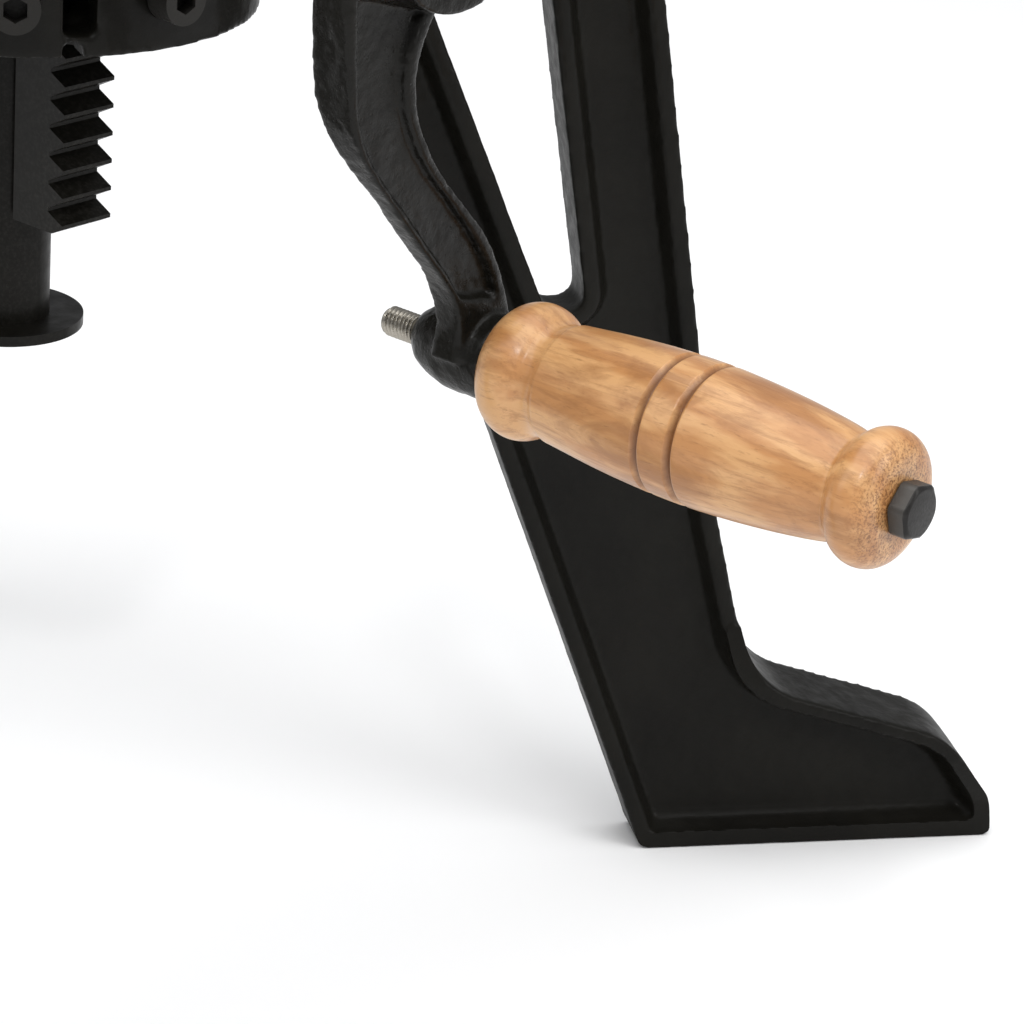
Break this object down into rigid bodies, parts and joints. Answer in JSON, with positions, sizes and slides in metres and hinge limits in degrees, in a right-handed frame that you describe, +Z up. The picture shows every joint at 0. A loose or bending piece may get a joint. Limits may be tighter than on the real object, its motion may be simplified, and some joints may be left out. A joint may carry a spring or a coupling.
{
  "type": "crank-adjustable pedestal table base",
  "caption": "Cast-iron tripod table base whose hand crank lifts a toothed centre post through a worm wheel and a pinion.",
  "frame": {"origin": "on the floor, on the axis of the centre post, midway between the three feet", "axes": "+Z up along the post; +X from the post towards the crank handle, parallel to the crank shaft; +Y completes the right-handed frame"},
  "size_m": [0.6164, 0.5553, 0.485],
  "materials": {
    "black_cast_iron": "satin black paint over cast iron",
    "blackened_steel": "blackened steel, worn bright on edges",
    "dark_fasteners": "black oxide",
    "zinc_steel": "plain steel",
    "machined_steel": "machined",
    "bronze": "machined bronze",
    "varnished_wood": "varnished hardwood"
  },
  "bodies": {
    "frame": {"leg_right": "black_cast_iron", "leg_rear": "black_cast_iron", "leg_left": "black_cast_iron", "leg_bolts": "dark_fasteners", "gear_housing": "black_cast_iron", "lower_post_guide": "black_cast_iron", "guide_clamp_screws": "dark_fasteners", "housing_cover": "black_cast_iron", "cover_screws": "dark_fasteners", "upper_post_guide": "black_cast_iron", "crank_front_bush": "bronze", "front_bush_screws": "dark_fasteners", "crank_rear_bush": "bronze", "cross_left_bush": "bronze", "cross_right_bush": "bronze"},
    "post": {"post_tube": "blackened_steel", "stop_disc": "blackened_steel", "rack": "blackened_steel", "spider_collar": "black_cast_iron", "collar_set_screws": "dark_fasteners", "top_spider": "black_cast_iron"},
    "cross_shaft_group": {"cross_shaft": "machined_steel", "pinion": "machined_steel", "worm_wheel": "bronze", "cross_shaft_spacers": "machined_steel"},
    "crank": {"crank_shaft": "machined_steel", "worm": "machined_steel", "worm_pin": "machined_steel", "thrust_collar": "dark_fasteners", "crank_arm": "black_cast_iron", "arm_pin": "machined_steel", "shaft_washer": "dark_fasteners", "shaft_nut": "dark_fasteners", "handle_bolt": "zinc_steel", "grip_sleeve": "bronze"},
    "grip": {"grip": "varnished_wood"}
  },
  "joints": [
    {"name": "post_lift", "type": "slide", "parent": "frame", "child": "post", "axis": [0, 0, 1], "range_m": [-0.046, 0.092]},
    {"name": "cross_shaft_spin", "type": "hinge", "parent": "frame", "child": "cross_shaft_group", "pos_m": [0.04942, 0, 0.36], "axis": [0, 1, 0], "range_deg": [-135, 267]},
    {"name": "crank_spin", "type": "hinge", "parent": "frame", "child": "crank", "pos_m": [0.05, -0.025, 0.334], "axis": [1, 0, 0], "range_deg": [-2400, 4780]},
    {"name": "grip_spin", "type": "hinge", "parent": "crank", "child": "grip", "pos_m": [0.236, 0.008, 0.2114], "axis": [1, 0, 0], "continuous": true}
  ],
  "couplings": [
    {"joint": "cross_shaft_spin", "follows": "post_lift", "rad_per_m": 50},
    {"joint": "crank_spin", "follows": "post_lift", "rad_per_m": 900}
  ]
}
